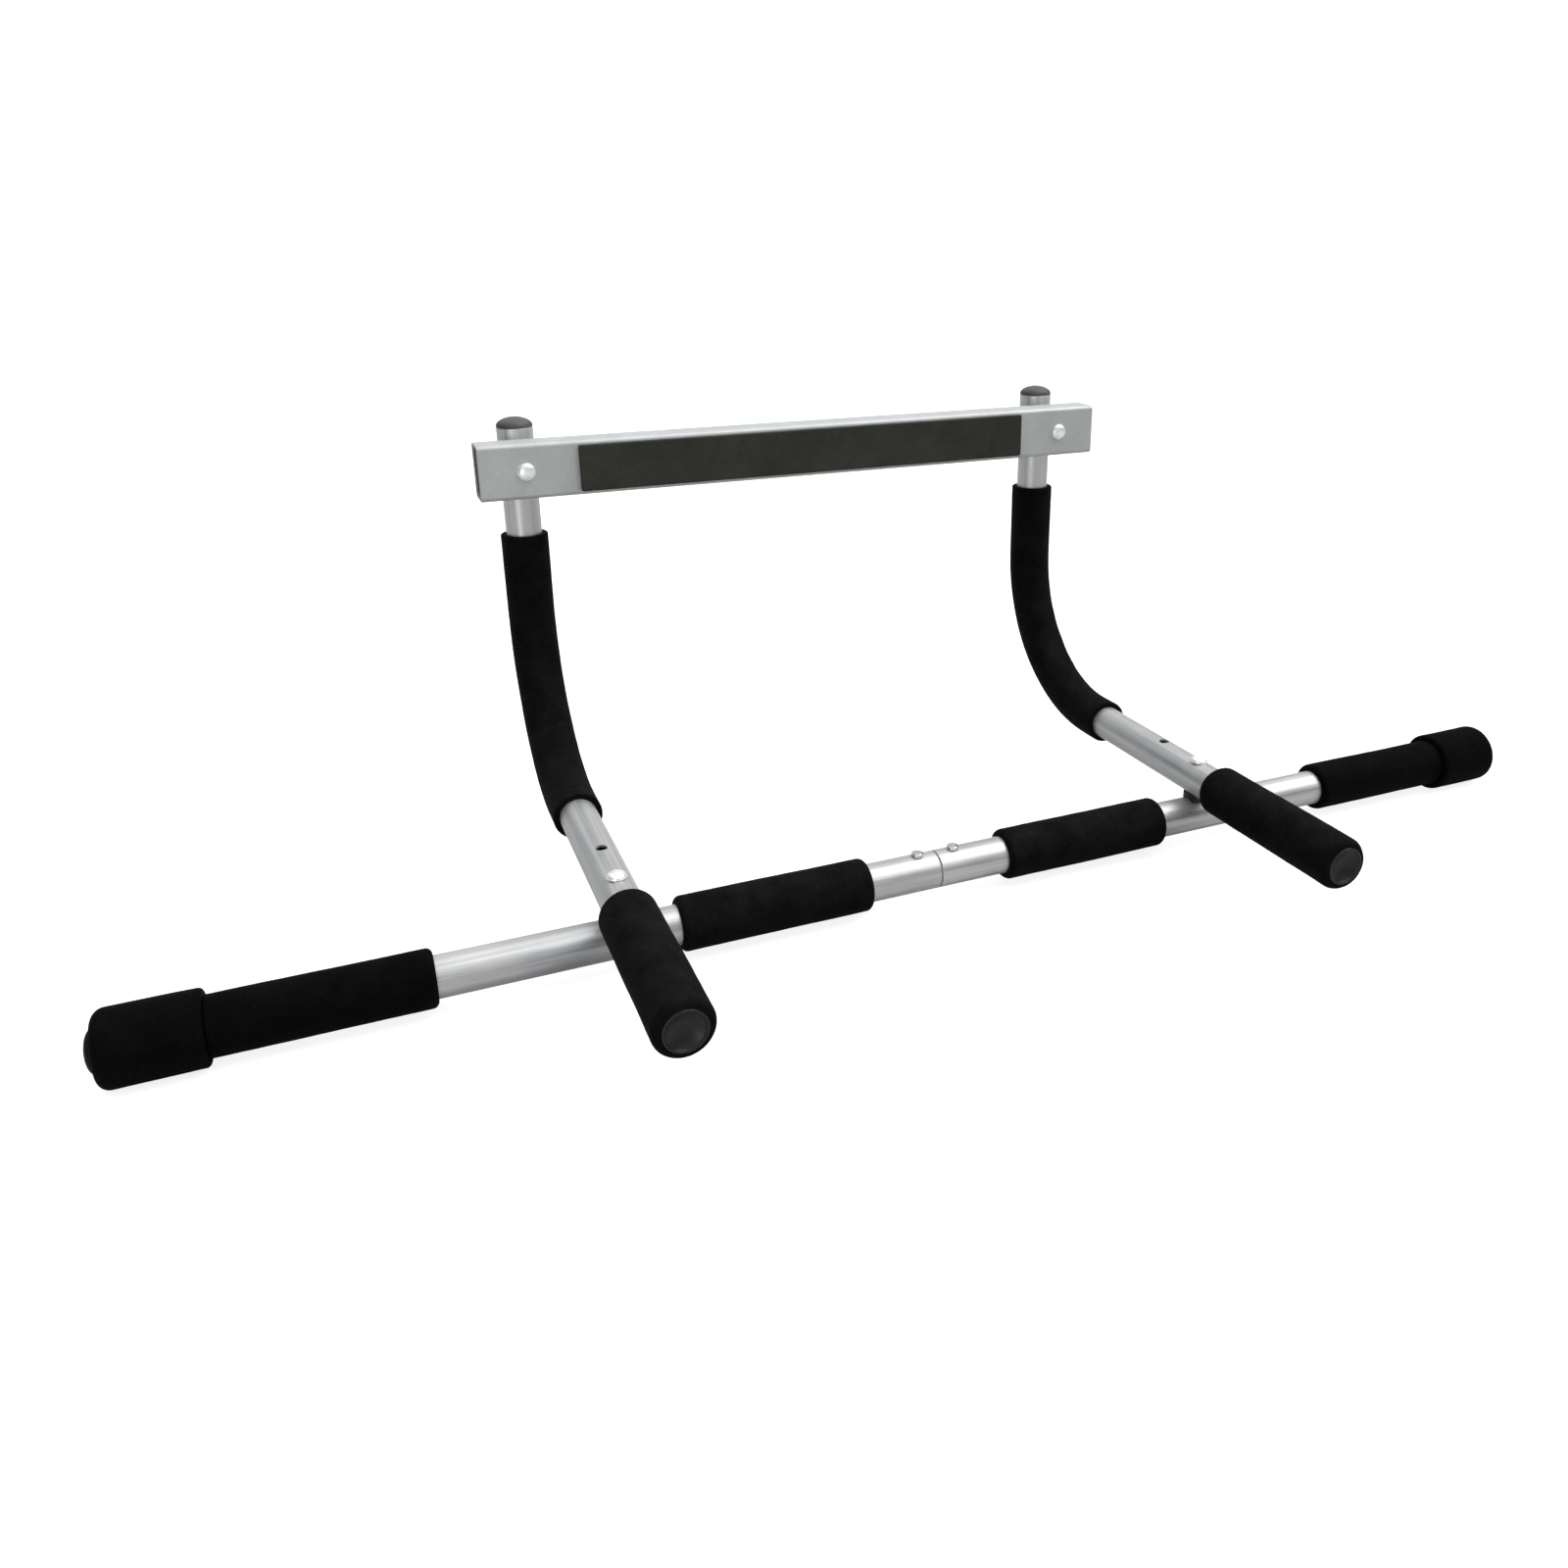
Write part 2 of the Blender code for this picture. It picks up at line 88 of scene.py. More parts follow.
# Studio
FLOOR_REACH, FLOOR_ALBEDO, FLOOR_GLOW = 14, 0.44, 0.84
SURROUND_POINTS, SURROUND_TOP, SURROUND_GLOW = 48, 30, 1.05
FRONT_LIGHT, BACK_LIGHT, TOP_LIGHT = 0.36, 0.66, 0.88
LEFT_LIGHT, RIGHT_LIGHT = 0.22, 0.22
SUN_STRENGTH, SUN_ANGLE, SUN_FROM = 1.9, 50, (0.60, -0.2, 0.85)
SOFT_BOUNCE, GLOSSY_BOUNCE = 0.18, 0.72
STRIP_POWER, STRIP_SIZE, STRIP_AT = 5.2, (0.16, 1.0), (-1.0, -1.28, 0.12)


# ---------------------------------------------------------------- paths


class Line:
    """A straight path. Distances along it are measured from its start."""

    def __init__(self, start, along, up):
        self.start = np.array(start, float)
        self.along = np.array(Vector(along).normalized(), float)
        self.up = np.array(Vector(up).normalized(), float)
        self.side = np.cross(self.along, self.up)

    def frames(self, distances):
        count = len(distances)
        centres = self.start + np.outer(distances, self.along)
        return centres, np.tile(self.side, (count, 1)), np.tile(self.up, (count, 1))

    def locate(self, points):
        """Each point's place across, up and along the path."""
        offset = points - self.start
        return np.stack([offset @ self.side, offset @ self.up, offset @ self.along], 1)


class SidePath:
    """The side frame's centre line: level from the front, a quarter bend, then straight up.
    Distances are measured from the long bar's plane."""

    def __init__(self, x, bar_y, run_z, upright_y):
        self.x, self.bar_y, self.run_z, self.upright_y = x, bar_y, run_z, upright_y
        self.straight = upright_y - BEND_RADIUS - bar_y
        self.arc = BEND_RADIUS * math.pi / 2
        self.bend_y = bar_y + self.straight
        self.bend_z = run_z + BEND_RADIUS

    def frames(self, distances):
        d = np.asarray(distances, float)
        turn = np.clip((d - self.straight) / BEND_RADIUS, 0, math.pi / 2)
        before = np.minimum(d - self.straight, 0)
        after = np.maximum(d - self.straight - self.arc, 0)
        y = self.bend_y + BEND_RADIUS * np.sin(turn) + before
        z = self.run_z + BEND_RADIUS * (1 - np.cos(turn)) + after
        zero = np.zeros_like(d)
        centres = np.stack([zero + self.x, y, z], 1)
        side = np.stack([zero + 1, zero, zero], 1)
        up = np.stack([zero, -np.sin(turn), np.cos(turn)], 1)
        return centres, side, up

    def locate(self, points):
        x, y, z = points[:, 0] - self.x, points[:, 1], points[:, 2]
        turn = np.arctan2(np.maximum(y - self.bend_y, 0), np.maximum(self.bend_z - z, 0))
        reach = np.hypot(y - self.bend_y, z - self.bend_z)
        before = y < self.bend_y
        after = ~before & (z > self.bend_z)
        beyond = np.where(after, self.upright_y - y, BEND_RADIUS - reach)
        past_bend = self.straight + self.arc + z - self.bend_z
        in_bend = self.straight + BEND_RADIUS * turn
        up = np.where(before, z - self.run_z, beyond)
        along = np.where(before, y - self.bar_y, np.where(after, past_bend, in_bend))
        return np.stack([x, up, along], 1)


# ---------------------------------------------------------------- meshes


def new_object(name, mesh):
    piece = bpy.data.objects.new(name, mesh)
    bpy.context.scene.collection.objects.link(piece)
    return piece


def ring_faces(rings, count, closed):
    """Quads between neighbouring rings of count points each."""
    faces = []
    for i in range(rings if closed else rings - 1):
        a, b = i * count, (i + 1) % rings * count
        faces += [(a + k, a + (k + 1) % count, b + (k + 1) % count, b + k) for k in range(count)]
    return faces


def solid(name, points, faces, sharp):
    """A smooth-shaded solid, its faces turned outwards and its edges sharp past an angle."""
    mesh = bpy.data.meshes.new(name)
    mesh.from_pydata(points, [], faces)
    edit = bmesh.new()
    edit.from_mesh(mesh)
    bmesh.ops.remove_doubles(edit, verts=edit.verts, dist=WELD)
    bmesh.ops.recalc_face_normals(edit, faces=edit.faces)
    if edit.calc_volume(signed=True) < 0:
        bmesh.ops.reverse_faces(edit, faces=edit.faces)
    edit.to_mesh(mesh)
    edit.free()
    mesh.shade_smooth()
    mesh.set_sharp_from_angle(angle=math.radians(sharp))
    return new_object(name, mesh)


def turned(name, path, profile, segments, swell=None):
    """A solid: an outline of (radius, distance) points turned about a path. An outline that
    doesn't start on the axis closes on itself. swell(across, up, along) adds to the radius, as
    much as the point's third value says, from 0 to 1."""
    outline = np.array([(*p, 0)[:3] for p in profile], float)
    radius, distance, free = outline.T
    centres, side, up = path.frames(distance)
    angles = np.arange(segments) * math.tau / segments
    cos, sin = np.cos(angles), np.sin(angles)
    spokes = up[:, None] * cos[None, :, None] + side[:, None] * sin[None, :, None]
    reach = np.repeat(radius[:, None], segments, 1)
    if swell:
        extra = [
            [swell(r * s, r * c, d) if f else 0 for s, c in zip(sin, cos)]
            for r, d, f in zip(radius, distance, free)
        ]
        reach = reach + np.array(extra) * free[:, None]
    points = (centres[:, None] + spokes * reach[..., None]).reshape(-1, 3)
    faces = ring_faces(len(profile), segments, closed=profile[0][0] > 0)
    piece = solid(name, points.tolist(), faces, 32)
    mark_grain(piece.data, path)
    return piece


def mark_grain(mesh, path):
    """Stores each point's place across, up and along its path, for grain that follows it."""
    points = np.empty(len(mesh.vertices) * 3)
    mesh.vertices.foreach_get("co", points)
    place = path.locate(points.reshape(-1, 3))
    grain = mesh.attributes.get("grain") or mesh.attributes.new("grain", "FLOAT_VECTOR", "POINT")
    grain.data.foreach_set("vector", place.astype(np.float32).ravel())


def arc(centre, radius, start, end, steps, mark=0):
    """(radius, distance) points on an arc; angles are from the outward direction."""
    turns = [math.radians(start + (end - start) * i / steps) for i in range(steps + 1)]
    return [
        (centre[0] + radius * math.cos(t), centre[1] + radius * math.sin(t), mark) for t in turns
    ]


def dome(radius, base, height, steps, power=1):
    """Outline of a dome, from just inside its rim to its tip."""
    turns = [math.pi / 2 * i / steps for i in range(1, steps)]
    slope = [(radius * math.cos(t) ** power, base + height * math.sin(t)) for t in turns]
    return slope + [(0, base + height)]


def axis_from(start, along):
    """A line from a point, with its up direction square to it."""
    return Line(start, along, Z if abs(Vector(along).z) < 0.5 else Y)


def cutter(radius, centre, along, length):
    path = axis_from(Vector(centre) - Vector(along) * (length / 2), along)
    rod = [(0, 0), (radius, 0), (radius, length), (0, length)]
    return turned("cutter", path, rod, CUTTER_POINTS)


def cut_away(piece, cutters):
    """Takes the cutters out of a piece for good, and removes them."""
    piece.modifiers.clear()
    for tool in cutters:
        cut = piece.modifiers.new("cut", "BOOLEAN")
        cut.object = tool
        cut.solver = "EXACT"
    graph = bpy.context.evaluated_depsgraph_get()
    mesh = bpy.data.meshes.new_from_object(piece.evaluated_get(graph))
    piece.modifiers.clear()
    piece.data = mesh
    for tool in cutters:
        bpy.data.objects.remove(tool)
    return mesh


def drill(piece, path, holes):
    """Cuts round holes, then sets normals from the tube's true shape, so that its shading
    doesn't show the cuts. Each hole is (radius, centre, direction, length)."""
    mesh = cut_away(piece, [cutter(*hole) for hole in holes])
    edit = bmesh.new()
    edit.from_mesh(mesh)
    bmesh.ops.triangulate(edit, faces=[f for f in edit.faces if len(f.verts) > 4])
    edit.to_mesh(mesh)
    edit.free()
    mesh.shade_smooth()
    mark_grain(mesh, path)
    true_normals(mesh, path)


def true_normals(mesh, path):
    """Points a drilled tube's normals straight out from its path, except at its cuts and ends."""
    place = np.empty(len(mesh.vertices) * 3, np.float32)
    mesh.attributes["grain"].data.foreach_get("vector", place)
    place = place.reshape(-1, 3).astype(float)
    _, side, up = path.frames(place[:, 2])
    spokes = side * place[:, :1] + up * place[:, 1:2]
    spokes /= np.linalg.norm(spokes, axis=1, keepdims=True)
    corners = np.empty(len(mesh.loops), np.int32)
    mesh.loops.foreach_get("vertex_index", corners)
    flat = np.empty(len(mesh.polygons) * 3)
    mesh.polygons.foreach_get("normal", flat)
    totals = np.empty(len(mesh.polygons), np.int32)
    mesh.polygons.foreach_get("loop_total", totals)
    flat = np.repeat(flat.reshape(-1, 3), totals, axis=0)
    round_way = spokes[corners]
    agree = (round_way * flat).sum(1)
    smooth = np.abs(agree) > 0.8
    normals = np.where(smooth[:, None], round_way * np.sign(agree)[:, None], flat)
    mesh.normals_split_custom_set(normals.tolist())


def rounded_section(width, height, corner, steps=6):
    """Outline of a rounded rectangle as (u, v) points, anticlockwise."""
    across, up = width / 2 - corner, height / 2 - corner
    points = []
    for u, v, start in ((across, up, 0), (-across, up, 90), (-across, -up, 180), (across, -up, 270)):
        points += [p[:2] for p in arc((u, v), corner, start, start + 90, steps)]
    return points


def even_normals(piece):
    even = piece.modifiers.new("even_normals", "WEIGHTED_NORMAL")
    even.keep_sharp = True


def lofted(name, sections, to_space, closed=False):
    """A solid through equal-length outlines, each a list of (u, v, w) points. The ends are
    capped, or joined to each other where closed."""
    rows, count = len(sections), len(sections[0])
    points = [tuple(to_space @ Vector(p)) for section in sections for p in section]
    faces = ring_faces(rows, count, closed)
    if not closed:
        faces += [tuple(range(count)), tuple(reversed(range((rows - 1) * count, rows * count)))]
    piece = solid(name, points, faces, 40)
    even_normals(piece)
    return piece


# ---------------------------------------------------------------- materials


def grey(level):
    return (level, level, level)


class Look:
    """A material in the making, with short ways to add nodes."""

    def __init__(self, name, **sockets):
        self.material = bpy.data.materials.new(name)
        self.material.use_nodes = True
        self.tree = self.material.node_tree
        self.shader = self.tree.nodes["Principled BSDF"]
        for socket, value in sockets.items():
            self.shader.inputs[socket.replace("_", " ")].default_value = value

    def node(self, kind, inputs=None, **settings):
        made = self.tree.nodes.new("ShaderNode" + kind)
        for name, value in settings.items():
            setattr(made, name, value)
        for socket, value in (inputs or {}).items():
            if isinstance(value, bpy.types.NodeSocket):
                self.tree.links.new(value, made.inputs[socket])
            else:
                made.inputs[socket].default_value = value
        return made

    def place(self, stretch=None):
        """Object coordinates, or the grain attribute stretched along the path."""
        if stretch is None:
            return self.node("TexCoord").outputs["Object"]
        grain = self.node("Attribute", attribute_name="grain").outputs["Vector"]
        return self.node("Mapping", {"Vector": grain, "Scale": (1, 1, stretch)}).outputs["Vector"]

    def noise(self, place, scale, detail, roughness):
        inputs = {"Vector": place, "Scale": scale, "Detail": detail, "Roughness": roughness}
        return self.node("TexNoise", inputs).outputs["Fac"]

    def cells(self, place, scale, output):
        return self.node("TexVoronoi", {"Vector": place, "Scale": scale}).outputs[output]

    def ramp(self, factor, low, high, start=0.3, end=0.7):
        """Maps a factor to a number or, with two colours, to a colour."""
        if isinstance(low, (int, float)):
            inputs = {0: factor, 1: start, 2: end, 3: low, 4: high}
            return self.node("MapRange", inputs).outputs["Result"]
        made = self.node("ValToRGB", {"Fac": factor})
        first, last = made.color_ramp.elements
        first.position, last.position = start, end
        first.color, last.color = (*low, 1), (*high, 1)
        return made.outputs["Color"]

    def mix(self, first, second, factor, blend="MIX"):
        made = self.node("Mix", data_type="RGBA", blend_type=blend)
        for socket, value in ((0, factor), (6, first), (7, second)):
            if isinstance(value, bpy.types.NodeSocket):
                self.tree.links.new(value, made.inputs[socket])
            else:
                made.inputs[socket].default_value = value if socket == 0 else (*value, 1)
        return made.outputs[2]

    def multiply(self, colour, shade):
        return self.mix(colour, shade, 1.0, "MULTIPLY")

    def math(self, operation, first, second):
        return self.node("Math", {0: first, 1: second}, operation=operation).outputs[0]

    def bump(self, height, distance, strength, normal=None):
        inputs = {"Height": height, "Distance": distance, "Strength": strength}
        if normal:
            inputs["Normal"] = normal
        return self.node("Bump", inputs).outputs["Normal"]

    def use(self, **sockets):
        for socket, value in sockets.items():
            self.tree.links.new(value, self.shader.inputs[socket.replace("_", " ")])
        return self.material


def tube_look():
    """Satin plated steel: drawn lines along the tube, cloudy plating, a few rubbed marks."""
    look = Look("satin_plated_tube", Metallic=0.65)
    lines = look.noise(look.place(stretch=0.012), scale=900, detail=4, roughness=0.6)
    drawn = look.noise(look.place(stretch=0.02), scale=330, detail=3, roughness=0.65)
    bands = look.noise(look.place(stretch=0.015), scale=110, detail=2, roughness=0.5)
    clouds = look.noise(look.place(), scale=38, detail=4, roughness=0.6)
    rubs = look.noise(look.place(stretch=0.25), scale=120, detail=6, roughness=0.75)
    colour = look.ramp(clouds, (0.545, 0.55, 0.555), (0.625, 0.625, 0.618), end=0.72)
    colour = look.multiply(colour, look.ramp(drawn, (0.76, 0.765, 0.78), grey(1), 0.36, 0.62))
    colour = look.multiply(colour, look.ramp(bands, (0.84, 0.84, 0.86), grey(1), 0.36, 0.6))
    colour = look.mix(colour, grey(0.36), look.ramp(rubs, 0.0, 0.4, 0.68, 0.76))
    rough = look.math("ADD", look.ramp(drawn, 0.33, 0.47), look.ramp(clouds, -0.03, 0.06))
    normal = look.bump(lines, distance=0.02 * MM, strength=0.5)
    normal = look.bump(drawn, distance=0.06 * MM, strength=0.45, normal=normal)
    return look.use(Base_Color=colour, Roughness=rough, Normal=normal)


def paint_look():
    """Silver paint on the safety bar: fine flakes, soft orange peel, slightly darker clouds."""
    look = Look("silver_paint", Metallic=0.4)
    place = look.place()
    flakes = look.cells(place, 2600, "Color")
    flake = look.node("SeparateColor", {"Color": flakes}).outputs[0]
    clouds = look.noise(place, scale=45, detail=4, roughness=0.6)
    peel = look.noise(place, scale=420, detail=2, roughness=0.5)
    base = look.ramp(clouds, (0.525, 0.546, 0.548), (0.60, 0.621, 0.621))
    colour = look.multiply(base, look.ramp(flake, (0.82, 0.82, 0.83), grey(1), 0.0, 0.9))
    rough = look.ramp(flake, 0.46, 0.62, 0, 1)
    normal = look.bump(peel, distance=0.06 * MM, strength=0.3)
    return look.use(Base_Color=colour, Roughness=rough, Normal=normal)


def foam_look(name, dark, light):
    """Closed-cell foam: near-black skin with pores, pebbles and soft dull patches."""
    look = Look(name, Specular_IOR_Level=0.05)
    place = look.place()
    pores = look.cells(place, 1150, "Distance")
    pebble = look.noise(place, scale=620, detail=3, roughness=0.6)
    patches = look.noise(place, scale=60, detail=4, roughness=0.65)
    base = look.ramp(patches, (dark, dark, dark * 1.1), (light, light, light * 1.06))
    colour = look.multiply(base, look.ramp(pores, grey(0.35), grey(1.15), 0.02, 0.42))
    rough = look.ramp(pebble, 0.74, 0.95)
    normal = look.bump(pores, distance=0.35 * MM, strength=0.45)
    normal = look.bump(pebble, distance=0.5 * MM, strength=0.35, normal=normal)
    normal = look.bump(patches, distance=1.2 * MM, strength=0.2, normal=normal)
    return look.use(Base_Color=colour, Roughness=rough, Normal=normal)


def pad_look():
    """The safety bar's pad: charcoal rubber foam with a tight cross-hatched grain."""
    look = Look("charcoal_pad", Specular_IOR_Level=0.2)
    place = look.place()
    ways = []
    for turn in (35, -35):
        mapped = look.node("Mapping", {"Vector": place, "Rotation": (0, math.radians(turn), 0)})
        inputs = {"Vector": mapped.outputs[0], "Scale": 260, "Distortion": 1.4, "Detail Scale": 3}
        ways.append(look.node("TexWave", inputs).outputs["Fac"])
    hatch = look.math("MULTIPLY", *ways)
    pebble = look.noise(place, scale=900, detail=3, roughness=0.6)
    patches = look.noise(place, scale=34, detail=4, roughness=0.65)
    base = look.ramp(patches, (0.035, 0.035, 0.0305), (0.058, 0.057, 0.049))
    colour = look.multiply(base, look.ramp(pebble, grey(0.7), grey(1.1)))
    rough = look.ramp(pebble, 0.62, 0.85)
    normal = look.bump(hatch, distance=0.12 * MM, strength=0.5)
    normal = look.bump(pebble, distance=0.18 * MM, strength=0.4, normal=normal)
    return look.use(Base_Color=colour, Roughness=rough, Normal=normal)


def plastic_look(name, dark, light, gloss, shine=0.26):
    """Moulded plastic: a fine spark-eroded grain and faint handling marks."""
    look = Look(name, Specular_IOR_Level=shine)
    place = look.place()
    grain = look.noise(place, scale=1500, detail=3, roughness=0.6)
    marks = look.noise(place, scale=85, detail=5, roughness=0.7)
    colour = look.ramp(marks, dark, light)
    rough = look.math("ADD", look.ramp(grain, gloss, gloss + 0.12), look.ramp(marks, 0, 0.1))
    normal = look.bump(grain, distance=0.06 * MM, strength=0.5)
    normal = look.bump(marks, distance=0.2 * MM, strength=0.15, normal=normal)
    return look.use(Base_Color=colour, Roughness=rough, Normal=normal)


def zinc_look(name, metal, dark, light, gloss):
    """Zinc plate: slightly cloudy and finely pitted."""
    look = Look(name, Metallic=metal)
    place = look.place()
    clouds = look.noise(place, scale=260, detail=4, roughness=0.6)
    pits = look.noise(place, scale=2400, detail=2, roughness=0.5)
    colour = look.ramp(clouds, grey(dark), (light, light, light * 0.99))
    rough = look.ramp(clouds, gloss, gloss + 0.1)
    normal = look.bump(pits, distance=0.02 * MM, strength=0.25)
    return look.use(Base_Color=colour, Roughness=rough, Normal=normal)


def make_looks():
    return {
        "tube": tube_look(),
        "paint": paint_look(),
        "foam": foam_look("black_foam", 0.0016, 0.0074),
        # bumper: the same black foam made much darker as painted shade, for the outer grips and door
        # bumpers, which sit in shade
        "bumper": foam_look("bumper_foam", 0.0002, 0.0020),
        "pad": pad_look(),
        "plastic": plastic_look(
            "black_plastic", (0.006, 0.0065, 0.0062), (0.011, 0.0112, 0.0108), gloss=0.30
        ),
        "plug": plastic_look(
            "dull_plastic", (0.002, 0.0022, 0.0021), (0.004, 0.0042, 0.004), gloss=0.5, shine=0.1
        ),
        "cap": plastic_look("grey_cap_plastic", (0.080, 0.080, 0.082), grey(0.107), gloss=0.38),
        "zinc": zinc_look("bright_zinc", metal=0.65, dark=0.88, light=0.96, gloss=0.36),
        "screw": zinc_look("screw_zinc", metal=1.0, dark=0.52, light=0.64, gloss=0.14),
    }


# ---------------------------------------------------------------- profiles and fasteners


def spread(start, end, step):
    """Even distances between two ends, leaving both out."""
    count = max(2, int(round((end - start) / step)))
    return [start + (end - start) * i / count for i in range(1, count)]


def foam_profile(radius, start, end, corners, step=2.5 * MM):
    """A sleeve's wall with rounded outer corners, slightly hollow ends and many rings."""
    first, last = corners
    lip, dish, arc_steps = 0.5 * MM, 0.35 * MM, 7
    wall = (FOAM_BORE + radius) / 2
    profile = [(FOAM_BORE, start + lip), (FOAM_BORE + lip * 0.4, start + dish * 0.5)]
    profile += [(wall, start + dish), (radius - first, start, 0.4)]
    profile += arc((radius - first, start + first), first, -80, 0, arc_steps, 1)
    profile += [(radius, d, 1) for d in spread(start + first, end - last, step)]
    profile += arc((radius - last, end - last), last, 0, 80, arc_steps, 1)
    profile += [(radius - last, end, 0.4), (wall, end - dish)]
    profile += [(FOAM_BORE + lip * 0.4, end - dish * 0.5), (FOAM_BORE, end - lip)]
    profile += [(FOAM_BORE, d) for d in reversed(spread(start + lip, end - lip, 4 * step))]
    return profile


def foam_swell(seed, size, wrinkle=None):
    """Small unevenness of a foam sleeve's skin, and creases inside a bend."""

    def swell(across, up, along):
        spot = Vector((across * 28, up * 28, along * 22 + seed * 7.3))
        fine = Vector((across * 150, up * 150, along * 120 + seed))
        out = size * (noise.noise(spot) + 0.35 * noise.noise(fine))
        if wrinkle:
            out += wrinkle(across, up, along)
        return out

    return swell


def tube_profile(start, end, between=()):
    """A tube's wall with eased edges. between are the distances of any rings in a bend."""
    edge = 0.35 * MM
    outer = [(TUBE_RADIUS - edge, start), (TUBE_RADIUS, start + edge)]
    outer += [(TUBE_RADIUS, d) for d in between]
    outer += [(TUBE_RADIUS, end - edge), (TUBE_RADIUS - edge, end)]
    inner = [(BORE_RADIUS + edge, end), (BORE_RADIUS, end - edge)]
    inner += [(BORE_RADIUS, d) for d in reversed(between)]
    inner += [(BORE_RADIUS, start + edge), (BORE_RADIUS + edge, start)]
    return outer + inner


def plug_stem():
    """Outline of a push-in stem with soft rings, from its tip to just outside the tube."""
    depth, fins = 14 * MM, 4
    radius = BORE_RADIUS - 0.05 * MM
    root = radius * 0.86
    profile = [(0, -depth), (radius * 0.75, -depth), (radius * 0.8, -depth + 0.4 * MM)]
    for i in range(fins):
        base = -depth + (i + 0.5) * depth / (fins + 0.5)
        profile += [(root, base), (radius, base + 1.2 * MM), (root, base + 1.6 * MM)]
    return profile + [(BORE_RADIUS - 0.1 * MM, PLUG_GAP)]


def thread(radius, start, end, pitch):
    """Outline and swell of a rolled screw thread between two distances."""
    steps = int((end - start) / pitch * 10)
    profile = [(radius, start + (end - start) * i / steps, 1) for i in range(steps + 1)]

    def swell(across, up, along):
        turn = math.atan2(across, up) / math.tau
        phase = (along / pitch - turn) % 1
        return -0.36 * pitch * (1 - abs(2 * phase - 1))

    return profile, swell


def domed_head(radius, height, flange):
    """Outline of a button head with a thin flange, from its underside to its tip."""
    soft = 0.3 * MM
    profile = [(radius - soft, 0), (radius, soft * 0.6), (radius, flange - soft)]
    profile += [(radius - soft * 0.4, flange - soft * 0.3), (radius - soft, flange)]
    return profile + dome(radius - soft, flange, height - flange, 14)


def pan_head(radius, height):
    """Outline of a screw head with a straight rim and a nearly flat top."""
    corner, edge, top = 0.7 * MM, 0.15 * MM, height - 0.25 * MM
    profile = [(radius - edge, 0), (radius, edge)]
    profile += [p[:2] for p in arc((radius - corner, top - corner), corner, 0, 75, 6)]
    profile += [(radius * 0.5, height - 0.07 * MM), (radius * 0.25, height - 0.02 * MM)]
    return profile + [(0, height)]


def bolt(name, head, outwards, length, height):
    """A domed bolt, from the point under its head."""
    tip = -length
    turns, swell = thread(SHANK_RADIUS, tip + 0.8 * MM, tip + THREAD_LENGTH, THREAD_PITCH)
    profile = [(0, tip), (SHANK_RADIUS - 0.7 * MM, tip)] + turns
    profile += [(SHANK_RADIUS, tip + THREAD_LENGTH + 0.3 * MM), (SHANK_RADIUS, 0)]
    profile += domed_head(HEAD_RADIUS, height, HEAD_FLANGE)
    return turned(name, axis_from(head, outwards), profile, BOLT_POINTS, swell)


def washer(name, at, along, thickness):
    inner, outer, edge = WASHER_BORE, WASHER_RADIUS, 0.2 * MM
    profile = [(inner, 0), (outer - edge, 0), (outer, edge), (outer, thickness - edge)]
    profile += [(outer - edge, thickness), (inner + edge, thickness), (inner, thickness - edge)]
    return turned(name, axis_from(at, along), profile, WASHER_POINTS)


def hex_nut(name, at, along, height):
    """A six-sided nut with chamfered corners on both faces and a countersunk bore."""
    path = axis_from(at, along)
    angles = np.arange(NUT_POINTS) * math.tau / NUT_POINTS
    even = np.ones(NUT_POINTS)
    flat = NUT_CORNER * math.cos(math.pi / 6)
    folded = (angles + math.pi / 6) % (math.pi / 3) - math.pi / 6
    hexagon = flat / np.cos(folded)
    chamfer = (hexagon - flat * 0.985) * 0.55
    sink = 0.5 * MM
    rings = [
        (NUT_BORE * even, sink * even),
        ((NUT_BORE + sink) * even, 0 * even),
        (flat * 0.97 * even, 0 * even),
        (hexagon * 0.995, chamfer),
        (hexagon, chamfer + 0.1 * MM),
    ]
    rings += [(radius, height - low) for radius, low in reversed(rings)]
    points = []
    for radius, level in rings:
        spokes = np.outer(np.cos(angles) * radius, path.up)
        spokes += np.outer(np.sin(angles) * radius, path.side)
        points += (path.start + spokes + np.outer(level, path.along)).tolist()
    return solid(name, points, ring_faces(len(rings), NUT_POINTS, closed=True), 28)


# ---------------------------------------------------------------- pieces


def present(piece, node, look):
    """Puts a piece in a CAD node's place."""
    piece.data.materials.clear()
    piece.data.materials.append(look)
    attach(piece, "root")
    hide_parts(node)


def present_foam(node, path, profile, swell, look):
    foam = turned(node + "_shown", path, profile, FOAM_POINTS, swell)
    present(foam, node, look)


def middle(node):
    low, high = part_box(node)
    return (low + high) / 2


def half_height(node):
    low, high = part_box(node)
    return (high.z - low.z) / 2


def half_width(node):
    low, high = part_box(node)
    return (high.x - low.x) / 2


def bar_axis():
    return middle("left_bar_tube")


def reach_out(node):
    """How far from the middle a piece of the long bar starts and ends."""
    return sorted(abs(corner.x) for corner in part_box(node))


def frame_path(side_name):
    at_handle = middle(side_name + "_handle_foam_grip")
    upright = middle(side_name + "_upright_cap")
    return SidePath(at_handle.x, bar_axis().y, at_handle.z, upright.y)


def along_frame(node, path):
    """Where a piece round the side frame's bend starts and ends along its path."""
    low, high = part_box(node)
    return low.y - path.bar_y, path.straight + path.arc + high.z - path.bend_z


def long_bar(side_name, side, looks):
    axis = bar_axis()
    path = Line((0, axis.y, axis.z), X * side, Z)
    bar_tube(side_name, path, looks["tube"])
    bar_foams(side_name, side, path, looks)
    bar_end_plug(side_name, side, looks["plug"])


